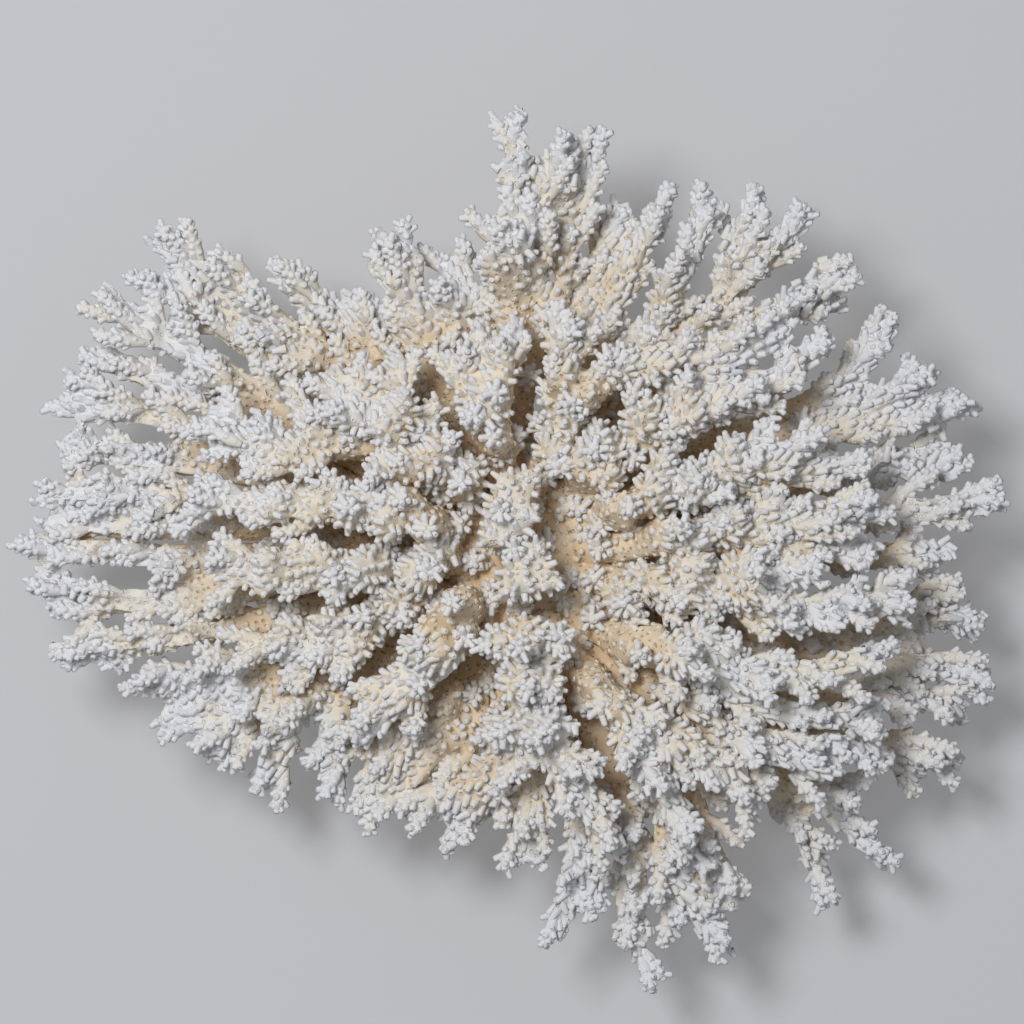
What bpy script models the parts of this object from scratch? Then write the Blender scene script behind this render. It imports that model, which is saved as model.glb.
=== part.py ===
"""Table coral: one colony of finger-like branches that spread from a short, sawn-off stalk.

The stalk stands on its flat cut at z = 0. Lower limbs run out from its side and carry the
rim of the table; crown limbs rise from its top and carry the upright fingers. Each limb is
one closed solid: a stem and the fingers that grow from it, at the girth that the small
tubes on them reach. Where a limb meets the one that it grows from, it is cut back to it.

Lengths are written in millimetres and made metres by MM. +Z is up.
"""

import math
import random
from dataclasses import dataclass

import bmesh
import bpy
from mathutils import Vector
from mathutils.bvhtree import BVHTree

MM = 0.001

# Stalk: radius and height of its outline, from the top down to the sawn foot.
STALK_OUTLINE = [(0.0, 63.0), (14.0, 62.0), (25.0, 58.5), (32.0, 53.0), (34.0, 46.0),
                 (30.0, 37.0), (27.0, 27.0), (27.5, 17.0), (33.0, 7.0), (40.0, 0.0)]
STALK_SIDES = 16
STALK_LOBES = 5
STALK_LOBE_DEPTH = 0.07

# Stems and fingers: girth, as radii.
STEM_ROOT_RADIUS = 6.4
SIDE_STEM_RADIUS = 6.0
STEM_END_RADIUS = 5.4
FINGER_ROOT_RADIUS = 5.4
FINGER_NECK_RADIUS = 5.0
TIP_RADIUS = 2.2
TIP_LENGTH = 9.0
TIP_REACH = 0.5
UPRIGHT_HEAD_GAIN = 2.4
SAMPLE_STEP = 5.0

# How a finger leaves its stem.
FORK_ANGLE = math.radians(36)
FORK_PENALTY = 2.2
FORK_LEAVE = 0.42
SHORTEST_FINGER = 9.0
WAVER = 1.1

# Meshing.
VOXEL = 1.3
SMOOTH_STEPS = 4
TRIANGLES_PER_MM = 0.395
FORK_GAP = 0.42

WHITE_SKELETON = ("white_skeleton", (0.86, 0.85, 0.82, 1.0), 0.85)
IVORY_STALK = ("ivory_stalk", (0.72, 0.60, 0.44, 1.0), 0.9)


@dataclass
class Limb:
    """One limb: the line of its stem, root first, its side stems and its fingers' tips (mm).

    A fourth number at a tip makes its finger that much thinner than the others.
    """

    name: str
    stem: list
    side_stems: list
    tips: list
    girth: float = 1.0


LIMBS = [
    # Lower limbs, anticlockwise from the east.
    Limb("limb_east",
         [(18, 1, 38), (60, 6, 46), (110, 11, 54), (166, 16, 58)],
         [[(60, 6, 46), (85, 0, 49), (115, -2, 52), (148, 0, 52)]],
         [(151, 20, 54), (136, 18, 58), (142, -10, 44), (136, 5, 58), (128, -6, 60)]),
    Limb("limb_east_by_north",
         [(17, 6, 38), (60, 17, 44), (104, 24, 50), (150, 33, 48)],
         [],
         [(147, 23, 50), (136, 24, 56), (129, 35, 58), (150, 28, 44), (141, 38, 46), (116, 25, 58)]),
    Limb("limb_east_northeast",
         [(15, 10, 38), (52, 28, 46), (98, 39, 55), (124, 51, 58), (141, 61, 60)],
         [[(98, 39, 55), (126, 42, 56), (152, 50, 54)],
          [(52, 28, 46), (84, 42, 52), (110, 56, 58), (128, 80, 62)]],
         [(132, 64, 58), (146, 39, 48), (113, 71, 54), (104, 50, 62), (122, 72, 56), (147, 55, 56)]),
    Limb("limb_northeast",
         [(13, 14, 38), (40, 50, 48), (65, 67, 54), (91, 81, 58), (114, 93, 62)],
         [],
         [(104, 98, 54), (95, 90, 66), (112, 82, 50), (84, 80, 66), (100, 80, 66)]),
    Limb("limb_north_northeast",
         [(11, 16, 38), (36, 52, 48), (70, 84, 58), (101, 115, 66)],
         [[(70, 84, 58), (76, 104, 58), (82, 121, 56)]],
         [(80, 103, 70), (73, 99, 70), (90, 103, 72), (71, 112, 50)]),
    Limb("limb_north_by_east",
         [(8, 18, 38), (26, 54, 48), (50, 80, 58), (66, 118, 62)],
         [[(26, 54, 48), (33, 84, 60), (42, 100, 64), (49, 110, 66)],
          [(26, 54, 48), (25, 78, 54), (29, 98, 56), (34, 117, 56)]],
         [(60, 117, 58), (71, 114, 58), (52, 117, 50), (57, 97, 74), (51, 94, 72), (40, 113, 60)]),
    Limb("limb_north",
         [(1, 21, 38), (-1, 50, 50), (0, 88, 64), (0, 124, 74)],
         [[(0, 88, 64), (9, 116, 72), (19, 138, 78)],
          [(-1, 50, 50), (10, 78, 58), (18, 106, 64), (27, 140, 66)]],
         [(3, 147, 78, 0.8), (-6, 145, 80, 0.6), (-13, 111, 72), (12, 97, 78), (2, 105, 92), (-9, 98, 84), (22, 121, 76),
          (5, 132, 84), (-6, 128, 80)], 1.2),
    Limb("limb_north_northwest",
         [(-6, 20, 38), (-19, 48, 50), (-33, 78, 62), (-46, 107, 68)],
         [[(-19, 48, 50), (-20, 70, 58), (-20, 84, 62), (-20, 100, 62)],
          [(-19, 48, 50), (-34, 66, 56), (-46, 82, 58)]],
         [(-48, 96, 60), (-31, 98, 70), (-36, 104, 74), (-41, 90, 74), (-27, 98, 60), (-13, 99, 60),
          (-24, 88, 72), (-11, 86, 66), (-14, 94, 64)]),
    Limb("limb_northwest",
         [(-11, 16, 38), (-36, 48, 48), (-58, 74, 54), (-82, 98, 56)],
         [],
         [(-75, 86, 46), (-56, 85, 62), (-68, 76, 46), (-50, 80, 64), (-42, 72, 62)]),
    Limb("limb_west_northwest",
         [(-14, 13, 38), (-44, 48, 48), (-84, 80, 60), (-121, 103, 68)],
         [[(-44, 48, 48), (-68, 55, 53), (-96, 74, 60), (-126, 92, 64)]],
         [(-112, 105, 68), (-92, 95, 66), (-101, 93, 70), (-84, 72, 74), (-108, 86, 72), (-75, 64, 70),
          (-64, 70, 62)]),
    Limb("limb_west_by_north",
         [(-17, 9, 38), (-56, 33, 49), (-100, 61, 62), (-138, 82, 66)],
         [[(-56, 33, 49), (-90, 46, 56), (-118, 56, 60), (-143, 68, 60)]],
         [(-136, 87, 66), (-122, 83, 68), (-136, 61, 64), (-110, 78, 68), (-126, 70, 72), (-104, 56, 72)]),
    Limb("limb_west_north",
         [(-19, 5, 38), (-58, 22, 49), (-110, 43, 60), (-153, 50, 64)],
         [[(-58, 22, 49), (-95, 27, 56), (-125, 31, 60), (-153, 35, 62)]],
         [(-149, 59, 62), (-141, 59, 66), (-132, 46, 70), (-147, 41, 66), (-120, 34, 70), (-136, 34, 70)]),
    Limb("limb_west",
         [(-20, 0, 38), (-62, 9, 49), (-116, 18, 60), (-160, 17, 64)],
         [[(-62, 9, 49), (-100, 8, 56), (-130, 8, 60), (-160, 9, 60)]],
         [(-148, 27, 62), (-140, 26, 68), (-140, 16, 72), (-122, 12, 72)]),
    Limb("limb_west_by_south",
         [(-20, -3, 36), (-60, -3, 46), (-112, -2, 56), (-167, 3, 60)],
         [[(-60, -3, 46), (-94, -14, 54), (-125, -18, 58), (-164, -11, 60)]],
         [(-158, -6, 56), (-145, -3, 66), (-156, -21, 56), (-147, -25, 56), (-140, -14, 68), (-120, -9, 68)]),
    Limb("limb_west_southwest",
         [(-18, -7, 38), (-56, -18, 46), (-104, -28, 54), (-157, -34, 56)],
         [],
         [(-141, -39, 50), (-133, -40, 50), (-124, -36, 58), (-126, -25, 64), (-145, -28, 60), (-110, -26, 64)]),
    Limb("limb_southwest",
         [(-16, -11, 38), (-52, -28, 46), (-88, -38, 54), (-127, -48, 54)],
         [[(-88, -38, 54), (-104, -48, 52), (-121, -59, 48)],
          [(-52, -28, 46), (-78, -42, 50), (-96, -56, 52), (-104, -70, 46)]],
         [(-122, -40, 60), (-112, -62, 50), (-104, -36, 64), (-95, -75, 46), (-107, -60, 50), (-93, -50, 64),
          (-90, -68, 50)]),
    Limb("limb_south_southwest",
         [(-12, -15, 38), (-36, -29, 46), (-62, -42, 52), (-77, -58, 52), (-84, -81, 42)],
         [[(-36, -29, 46), (-52, -44, 50), (-61, -60, 52), (-60, -83, 46)]],
         [(-89, -78, 44), (-78, -80, 42), (-84, -60, 62), (-73, -52, 64), (-65, -77, 46, 0.7), (-62, -62, 62),
          (-54, -70, 44), (-73, -69, 48), (-84, -68, 50)]),
    Limb("limb_south_by_west",
         [(-7, -19, 38), (-14, -42, 46), (-32, -58, 54), (-44, -75, 54), (-50, -91, 50)],
         [[(-14, -42, 46), (-14, -58, 48), (-26, -68, 52), (-37, -79, 52)]],
         [(-40, -87, 52), (-56, -87, 52), (-24, -54, 62), (-44, -62, 62), (-28, -64, 62), (-16, -72, 52),
          (-52, -68, 56)]),
    Limb("limb_south",
         [(-2, -20, 38), (-3, -50, 46), (-5, -74, 54), (-15, -85, 52), (-22, -100, 48)],
         [[(-5, -74, 54), (-20, -82, 54), (-39, -87, 52)]],
         [(-27, -89, 50), (-11, -90, 46), (-6, -64, 62), (-14, -78, 62), (-4, -84, 44)]),
    Limb("limb_south_by_east",
         [(3, -20, 38), (8, -46, 46), (7, -76, 56), (4, -106, 52)],
         [[(8, -46, 46), (18, -72, 50), (22, -100, 54), (14, -131, 46)]],
         [(-4, -92, 54), (11, -107, 52), (11, -94, 64), (-2, -101, 54), (31, -120, 52), (22, -120, 46),
          (27, -100, 64), (17, -112, 60)]),
    Limb("limb_south_southeast",
         [(8, -18, 38), (24, -50, 46), (37, -90, 50), (40, -128, 46)],
         [],
         [(47, -147, 42, 0.7), (34, -132, 46), (47, -130, 46), (42, -112, 60), (40, -96, 62)], 1.15),
    Limb("limb_southeast",
         [(13, -15, 38), (36, -50, 46), (51, -84, 54), (57, -112, 52), (73, -135, 46)],
         [[(51, -84, 54), (53, -108, 52), (53, -130, 44)],
          [(36, -50, 46), (56, -74, 50), (65, -98, 52), (75, -120, 46)]],
         [(44, -117, 56), (56, -104, 66), (63, -130, 46), (70, -123, 44), (74, -110, 56), (64, -108, 62),
          (46, -104, 56)]),
    Limb("limb_southeast_low",
         [(16, -11, 36), (52, -46, 40), (82, -72, 42), (98, -96, 38), (105, -118, 36)],
         [[(82, -72, 42), (104, -84, 42), (116, -96, 38), (125, -109, 34)]],
         [(108, -112, 32), (116, -83, 46), (88, -92, 36), (120, -77, 46), (96, -86, 48)], 0.8),
    Limb("limb_east_southeast",
         [(18, -7, 36), (60, -33, 42), (104, -55, 46), (130, -67, 44), (152, -72, 40)],
         [[(60, -33, 42), (96, -44, 45), (125, -48, 46), (153, -54, 40)]],
         [(138, -78, 38), (143, -67, 46), (132, -79, 38), (152, -60, 38), (140, -49, 46), (132, -56, 50),
          (148, -76, 38), (136, -61, 46)], 0.92),
    Limb("limb_east_by_south",
         [(19, -4, 36), (60, -18, 42), (104, -27, 46), (132, -34, 45), (154, -47, 40)],
         [[(104, -27, 46), (130, -24, 46), (160, -22, 42)],
          [(60, -18, 42), (96, -34, 44), (118, -39, 46), (138, -46, 42)]],
         [(148, -14, 44), (156, -30, 40), (162, -41, 40), (149, -23, 52), (147, -36, 46), (141, -9, 46)], 0.92),
    # Crown limbs, from the top of the stalk.
    Limb("crown_heart",
         [(0, 0, 50), (-1, 4, 70), (-3, 14, 92)],
         [[(0, 0, 50), (3, -6, 70), (2, -12, 94)]],
         [(-3, 25, 90), (6, 26, 88), (7, 12, 92), (-10, 3, 90), (14, -11, 90), (9, 2, 88), (-5, -16, 84)]),
    Limb("crown_north",
         [(-3, 12, 50), (-7, 34, 64), (-9, 56, 90)],
         [],
         [(-14, 45, 92), (-23, 66, 82), (0, 67, 86), (-12, 76, 82), (-4, 34, 84), (1, 76, 80)]),
    Limb("crown_north_northeast",
         [(4, 12, 50), (14, 34, 64), (27, 56, 80), (64, 69, 86)],
         [[(14, 34, 64), (16, 58, 76), (17, 79, 84)]],
         [(17, 60, 92), (25, 52, 90), (38, 66, 92), (50, 62, 92), (17, 33, 82)]),
    Limb("crown_northeast",
         [(8, 9, 50), (24, 24, 64), (46, 38, 76), (74, 54, 86)],
         [[(46, 38, 76), (66, 48, 76), (88, 58, 76), (107, 71, 76)],
          [(46, 38, 76), (60, 56, 78), (78, 67, 82), (94, 76, 80)]],
         [(30, 38, 90), (44, 50, 92), (58, 56, 90), (33, 26, 86), (60, 45, 94), (22, 33, 86), (84, 50, 86),
          (97, 57, 84), (70, 70, 86), (95, 66, 84)]),
    Limb("crown_east_northeast",
         [(11, 4, 50), (34, 13, 64), (60, 23, 78), (90, 32, 88)],
         [[(60, 23, 78), (82, 24, 78), (102, 27, 78), (118, 32, 76)]],
         [(64, 21, 96), (48, 20, 92), (36, 14, 86), (86, 43, 86), (74, 36, 94), (104, 40, 82), (50, 32, 88)]),
    Limb("crown_east",
         [(12, 0, 50), (38, 2, 63), (66, 5, 74), (98, 12, 80), (125, 13, 74)],
         [[(66, 5, 74), (90, 1, 78), (122, 1, 74)]],
         [(75, 13, 92), (52, 5, 88), (89, 21, 90), (116, 20, 78), (62, 3, 90), (100, 5, 88)]),
    Limb("crown_east_southeast",
         [(11, -5, 50), (36, -12, 62), (66, -13, 74), (100, -6, 82)],
         [[(66, -13, 74), (88, -20, 76), (110, -19, 75), (132, -15, 72)]],
         [(82, 0, 90), (64, -2, 88), (58, -16, 88), (40, -20, 82), (48, -9, 84), (81, -12, 92), (103, -11, 84),
          (116, -9, 80), (128, -6, 68), (108, -26, 82), (92, -24, 86), (131, -24, 70)]),
    Limb("crown_southeast",
         [(8, -9, 50), (32, -27, 62), (58, -36, 74), (92, -42, 80), (127, -33, 72)],
         [[(58, -36, 74), (82, -52, 72), (104, -56, 70), (125, -51, 70)]],
         [(57, -36, 96), (66, -27, 90), (48, -30, 88), (84, -45, 92), (74, -30, 88), (40, -34, 84),
          (113, -38, 80), (121, -59, 68), (100, -48, 82)]),
    Limb("crown_southeast_blunt",
         [(7, -12, 48), (38, -40, 58), (72, -60, 66), (109, -75, 66)],
         [[(72, -60, 66), (98, -63, 66), (127, -69, 60)]],
         [(91, -73, 76), (82, -66, 80), (96, -78, 66), (113, -62, 72), (66, -52, 80), (84, -80, 64)], 1.1),
    Limb("crown_south_southeast",
         [(4, -13, 50), (20, -37, 62), (40, -60, 76), (59, -98, 70)],
         [[(40, -60, 76), (60, -67, 76), (74, -79, 74), (81, -90, 68)]],
         [(34, -54, 88), (50, -56, 86), (26, -45, 86), (38, -68, 88), (46, -80, 84), (54, -68, 84),
          (66, -80, 82), (68, -70, 76)]),
    Limb("crown_south",
         [(0, -13, 50), (3, -34, 64), (9, -60, 78), (24, -84, 76), (37, -103, 68)],
         [],
         [(-6, -33, 86), (6, -31, 90), (17, -33, 86), (0, -46, 88), (14, -47, 88), (8, -62, 94), (-5, -64, 80),
          (20, -60, 86), (27, -74, 88), (18, -80, 80), (0, -76, 74)]),
    Limb("crown_southwest",
         [(-5, -11, 50), (-18, -22, 63), (-30, -37, 73), (-50, -58, 72)],
         [],
         [(-20, -17, 86), (-28, -24, 88), (-36, -34, 86), (-25, -34, 88), (-15, -30, 80), (-38, -52, 80),
          (-52, -64, 64), (-34, -61, 68), (-50, -48, 78)]),
    Limb("crown_west_southwest",
         [(-9, -7, 48), (-34, -18, 58), (-62, -29, 66), (-94, -34, 68)],
         [],
         [(-42, -18, 82), (-54, -34, 78), (-60, -44, 72), (-70, -38, 76), (-76, -46, 64), (-66, -24, 80),
          (-80, -27, 78), (-94, -42, 62)]),
    Limb("crown_west",
         [(-10, -3, 50), (-34, -4, 62), (-62, -8, 72), (-102, -5, 78)],
         [],
         [(-27, 3, 84), (-35, -11, 82), (-52, -7, 86), (-66, -2, 86), (-62, -16, 80), (-100, 4, 80),
          (-86, -14, 80), (-84, -2, 88), (-74, 3, 84), (-98, -14, 74)]),
    Limb("crown_west_northwest",
         [(-10, 3, 50), (-30, 10, 64), (-58, 16, 76), (-98, 16, 84)],
         [],
         [(-28, 8, 88), (-44, 10, 94), (-36, 17, 92), (-56, 11, 92), (-50, 20, 92), (-70, 10, 88),
          (-83, 12, 92), (-106, 24, 84), (-114, 10, 78), (-66, 22, 88)]),
    Limb("crown_northwest",
         [(-7, 10, 50), (-22, 24, 66), (-40, 40, 78), (-60, 53, 82)],
         [],
         [(-25, 35, 92), (-14, 28, 86), (-38, 27, 90), (-47, 29, 90), (-36, 52, 96), (-45, 41, 94),
          (-58, 43, 90), (-52, 62, 82), (-38, 66, 82), (-63, 60, 78), (-26, 50, 84)]),
    Limb("crown_west_rim",
         [(-42, 36, 72), (-60, 36, 76), (-80, 34, 80), (-106, 43, 82)],
         [],
         [(-93, 36, 92), (-89, 26, 90), (-77, 30, 90), (-86, 46, 88), (-70, 44, 86), (-97, 50, 82),
          (-70, 24, 84), (-104, 30, 84), (-76, 54, 80)]),
]


def clear_scene():
    for obj in list(bpy.data.objects):
        bpy.data.objects.remove(obj)


def new_collection(name):
    collection = bpy.data.collections.new(name)
    bpy.context.scene.collection.children.link(collection)
    return collection


def make_material(name, colour, roughness):
    material = bpy.data.materials.new(name)
    material.use_nodes = True
    shader = material.node_tree.nodes["Principled BSDF"]
    shader.inputs["Base Color"].default_value = colour
    shader.inputs["Roughness"].default_value = roughness
    shader.inputs["Metallic"].default_value = 0.0
    return material


def reaching(line):
    """The line with its end run on a little, for what fusing and faceting take off the tip."""
    line[-1] = line[-1] + (line[-1] - line[-2]).normalized() * TIP_REACH
    return line


def smooth_line(points, step=SAMPLE_STEP):
    """Points every step mm or so along a Catmull-Rom curve through the given points."""
    knots = [Vector(p) for p in points]
    knots = [2 * knots[0] - knots[1], *knots, 2 * knots[-1] - knots[-2]]
    line = []
    for a, b, c, d in zip(knots, knots[1:], knots[2:], knots[3:]):
        count = max(1, round((c - b).length / step))
        for i in range(count):
            t = i / count
            line.append(0.5 * (2 * b + (c - a) * t + (2 * a - 5 * b + 4 * c - d) * t * t
                               + (3 * b - a - 3 * c + d) * t ** 3))
    line.append(knots[-2])
    return reaching(line)


def fork_point(stems, tip):
    """The place on the stems from which a finger reaches tip, and the stem's direction there."""
    best = None
    for stem in stems:
        for here, after in zip(stem, stem[1:]):
            along = (after - here).normalized()
            reach = tip - here
            angle = along.angle(reach, math.pi)
            cost = reach.length * (1 + FORK_PENALTY * max(0.0, angle - FORK_ANGLE))
            if reach.length >= SHORTEST_FINGER and (best is None or cost < best[0]):
                best = (cost, here, along)
    return best[1], best[2]


def finger_line(stems, tip, chance):
    """A finger's line: it leaves along the stem, then bends to its own way, a little wavering."""
    start, along = fork_point(stems, tip)
    length = (tip - start).length
    bend = start + along * (FORK_LEAVE * length)
    side = (tip - start).cross(Vector((chance.uniform(-1, 1), chance.uniform(-1, 1), 1))).normalized()
    count = max(3, round(length / SAMPLE_STEP))
    line = []
    for i in range(count + 1):
        t = i / count
        point = start * (1 - t) ** 2 + bend * (2 * t * (1 - t)) + tip * t * t
        line.append(point + side * (WAVER * math.sin(2 * math.pi * t) * min(1.0, length / 40)))
    return reaching(line)


def finger_radii(line, root, neck):
    """Radii along a finger: even for most of its length, then drawn in to a blunt tip."""
    uprightness = max(0.0, (line[-1] - line[-3]).normalized().z)
    neck = neck + UPRIGHT_HEAD_GAIN * uprightness ** 2
    lengths = [0.0]
    for here, after in zip(line, line[1:]):
        lengths.append(lengths[-1] + (after - here).length)
    radii = []
    for run in lengths:
        body = root + (neck - root) * run / lengths[-1]
        left = min(1.0, (lengths[-1] - run) / TIP_LENGTH)
        radii.append(TIP_RADIUS + (body - TIP_RADIUS) * math.sqrt(left))
    return radii


def add_spline(curve, line, radii):
    spline = curve.splines.new("POLY")
    spline.points.add(len(line) - 1)
    for point, place, radius in zip(spline.points, line, radii):
        point.co = (*(place * MM), 1.0)
        point.radius = radius


def limb_curve(limb):
    """A curve object with one round tube for the stem and one for each finger."""
    chance = random.Random(limb.name)
    curve = bpy.data.curves.new(limb.name, "CURVE")
    curve.dimensions = "3D"
    curve.bevel_depth = MM
    curve.bevel_resolution = 3
    curve.use_fill_caps = True
    stems = [smooth_line(line) for line in (limb.stem, *limb.side_stems)]
    for stem, root in zip(stems, (STEM_ROOT_RADIUS, *[SIDE_STEM_RADIUS] * len(limb.side_stems))):
        add_spline(curve, stem, finger_radii(stem, root * limb.girth, STEM_END_RADIUS * limb.girth))
    for *tip, girth in (tip if len(tip) == 4 else (*tip, 1.0) for tip in limb.tips):
        line = finger_line(stems, Vector(tip), chance)
        add_spline(curve, line, finger_radii(line, FINGER_ROOT_RADIUS * girth, FINGER_NECK_RADIUS * girth))
    obj = bpy.data.objects.new(limb.name + "_tubes", curve)
    bpy.context.scene.collection.objects.link(obj)
    length = sum(s.calc_length() for s in curve.splines) / MM
    return obj, length


def evaluated_mesh(obj):
    bpy.context.view_layer.update()
    graph = bpy.context.evaluated_depsgraph_get()
    return bpy.data.meshes.new_from_object(obj.evaluated_get(graph))


def weld(mesh, distance):
    shape = bmesh.new()
    shape.from_mesh(mesh)
    bmesh.ops.remove_doubles(shape, verts=shape.verts, dist=distance)
    shape.to_mesh(mesh)
    shape.free()


def fused(tubes, name, triangles):
    """The tubes grown into one body, in about the given number of triangles."""
    mesh = evaluated_mesh(tubes)
    weld(mesh, 1e-5)
    obj = bpy.data.objects.new(name, mesh)
    bpy.context.scene.collection.objects.link(obj)
    bpy.data.objects.remove(tubes)
    remesh = obj.modifiers.new("fuse", "REMESH")
    remesh.mode = "VOXEL"
    remesh.voxel_size = VOXEL * MM
    smooth = obj.modifiers.new("soften", "SMOOTH")
    smooth.iterations = SMOOTH_STEPS
    obj.data = evaluated_mesh(obj)
    obj.modifiers.clear()
    decimate = obj.modifiers.new("facet", "DECIMATE")
    decimate.use_collapse_triangulate = True
    decimate.ratio = triangles / (2 * len(obj.data.polygons))
    obj.data = evaluated_mesh(obj)
    obj.modifiers.clear()
    return obj


def stalk_mesh():
    """The stalk: a turned outline with shallow lobes and a flat sawn foot."""
    shape = bmesh.new()
    outline = [shape.verts.new((r * MM, 0, z * MM)) for r, z in STALK_OUTLINE]
    for upper, lower in zip(outline, outline[1:]):
        shape.edges.new((upper, lower))
    mesh = bpy.data.meshes.new("stalk")
    shape.to_mesh(mesh)
    shape.free()
    obj = bpy.data.objects.new("stalk", mesh)
    bpy.context.scene.collection.objects.link(obj)
    screw = obj.modifiers.new("turn", "SCREW")
    screw.steps = screw.render_steps = STALK_SIDES
    screw.use_merge_vertices = True
    screw.merge_threshold = 1e-5
    mesh = evaluated_mesh(obj)
    obj.modifiers.clear()
    obj.data = mesh
    shape = bmesh.new()
    shape.from_mesh(mesh)
    bmesh.ops.remove_doubles(shape, verts=shape.verts, dist=1e-6)
    rim = [edge for edge in shape.edges if edge.is_boundary]
    bmesh.ops.holes_fill(shape, edges=rim)
    for vert in shape.verts:
        angle = math.atan2(vert.co.y, vert.co.x)
        lobe = 1 + STALK_LOBE_DEPTH * math.cos(STALK_LOBES * angle + vert.co.z / (14 * MM))
        vert.co.x *= lobe
        vert.co.y *= lobe
    bmesh.ops.triangulate(shape, faces=shape.faces)
    bmesh.ops.recalc_face_normals(shape, faces=shape.faces)
    shape.to_mesh(mesh)
    shape.free()
    return obj


def tree_of(mesh):
    return BVHTree.FromPolygons([v.co for v in mesh.vertices], [p.vertices for p in mesh.polygons])


def swollen(obj, cutters):
    """A copy of a solid grown by the gap that touching solids keep, used to cut its neighbours."""
    mesh = obj.data.copy()
    grow = [v.normal.copy() for v in mesh.vertices]
    for vert, normal in zip(mesh.vertices, grow):
        vert.co += normal * (FORK_GAP * MM)
    cutter = bpy.data.objects.new(obj.name + "_cutter", mesh)
    cutter.hide_render = True
    cutter.display_type = "WIRE"
    cutters.objects.link(cutter)
    return cutter


def keep_largest(mesh):
    """Drops the crumbs that a cut leaves beside the main body."""
    shape = bmesh.new()
    shape.from_mesh(mesh)
    shape.faces.ensure_lookup_table()
    left = set(shape.faces)
    islands = []
    while left:
        island, front = set(), [left.pop()]
        while front:
            face = front.pop()
            island.add(face)
            for edge in face.edges:
                for other in edge.link_faces:
                    if other in left:
                        left.discard(other)
                        front.append(other)
        islands.append(island)
    islands.sort(key=len)
    for island in islands[:-1]:
        bmesh.ops.delete(shape, geom=list(island), context="FACES")
    bmesh.ops.triangulate(shape, faces=shape.faces)
    shape.to_mesh(mesh)
    shape.free()


def cut_back(obj, earlier, cutters):
    """Cuts a limb back to each earlier solid that it runs into."""
    for other in earlier:
        if not tree_of(obj.data).overlap(tree_of(other.data)):
            continue
        boolean = obj.modifiers.new("cut_back", "BOOLEAN")
        boolean.operation = "DIFFERENCE"
        boolean.solver = "EXACT"
        boolean.object = cutters.get(other.name) or swollen(other, cutters["collection"])
        cutters[other.name] = boolean.object
        obj.data = evaluated_mesh(obj)
        obj.modifiers.clear()
        keep_largest(obj.data)


def finish(obj, collection, material):
    for owner in list(obj.users_collection):
        owner.objects.unlink(obj)
    collection.objects.link(obj)
    obj.data.materials.clear()
    obj.data.materials.append(material)
    obj.data.shade_smooth()


def main():
    clear_scene()
    coral = new_collection("table_coral")
    cutters = {"collection": new_collection("cutters")}
    white = make_material(*WHITE_SKELETON)
    ivory = make_material(*IVORY_STALK)
    solids = [stalk_mesh()]
    for limb in LIMBS:
        tubes, length = limb_curve(limb)
        obj = fused(tubes, limb.name, TRIANGLES_PER_MM * length)
        cut_back(obj, solids, cutters)
        solids.append(obj)
    for obj in solids:
        finish(obj, coral, ivory if obj.name == "stalk" else white)


main()
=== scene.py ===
"""Table coral: the bleached skeleton of one Acropora colony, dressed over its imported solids.

Each limb's solid is the girth that its corallites reach. The skin of a limb is that solid,
remeshed, softened and drawn in by the length of the tubes that stand on it. The corallites,
small open tubes that lean towards the fingertips, are modelled once and set all over it.
Lengths are in metres, and MM makes metres of millimetres.
"""

import heapq
import logging
import math
from dataclasses import dataclass, field
from enum import Enum
from typing import Callable, ClassVar, Sequence

import bmesh
import bpy
import numpy as np
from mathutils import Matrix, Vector, noise
from mathutils.bvhtree import BVHTree


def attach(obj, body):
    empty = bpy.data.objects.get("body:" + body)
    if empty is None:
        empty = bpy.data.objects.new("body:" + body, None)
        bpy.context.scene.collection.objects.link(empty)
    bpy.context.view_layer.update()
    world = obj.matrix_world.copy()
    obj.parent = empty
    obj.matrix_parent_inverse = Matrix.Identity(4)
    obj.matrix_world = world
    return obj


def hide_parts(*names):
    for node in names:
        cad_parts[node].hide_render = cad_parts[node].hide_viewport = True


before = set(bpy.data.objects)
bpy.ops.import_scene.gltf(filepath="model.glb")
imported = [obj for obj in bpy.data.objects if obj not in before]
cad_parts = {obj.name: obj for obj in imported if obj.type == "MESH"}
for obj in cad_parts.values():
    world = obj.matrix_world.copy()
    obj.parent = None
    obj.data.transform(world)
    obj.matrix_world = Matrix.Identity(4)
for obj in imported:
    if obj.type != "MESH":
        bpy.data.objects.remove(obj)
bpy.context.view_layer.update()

LOG = logging.getLogger("table_coral")
MM = 0.001
ROOT_BODY = "root"
NEAR_UPRIGHT = 0.9


class Part(Enum):
    """The two kinds of piece that the colony is made of."""

    STALK = "stalk"
    LIMB = "skeleton"


# ---------------------------------------------------------------------------
# Small helpers
# ---------------------------------------------------------------------------


def deselect_all() -> None:
    """Leaves nothing selected, so that the next operator acts on its own object."""
    if bpy.context.object is not None and bpy.context.object.mode != "OBJECT":
        bpy.ops.object.mode_set(mode="OBJECT")
    for obj in bpy.context.selected_objects:
        obj.select_set(False)


def activate(obj: bpy.types.Object) -> None:
    """Makes one object the only selected and the active one.

    Args:
        obj: The object to work on.
    """
    deselect_all()
    obj.select_set(True)
    bpy.context.view_layer.objects.active = obj


def apply_modifier(obj: bpy.types.Object, kind: str, **settings: float | str | bool) -> None:
    """Adds a modifier to an object and applies it.

    Args:
        obj: The object to change.
        kind: The modifier's type, such as REMESH.
        **settings: Values for the modifier's properties.
    """
    activate(obj)
    modifier = obj.modifiers.new(kind.lower(), kind)
    for name, value in settings.items():
        setattr(modifier, name, value)
    bpy.ops.object.modifier_apply(modifier=modifier.name)


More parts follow.
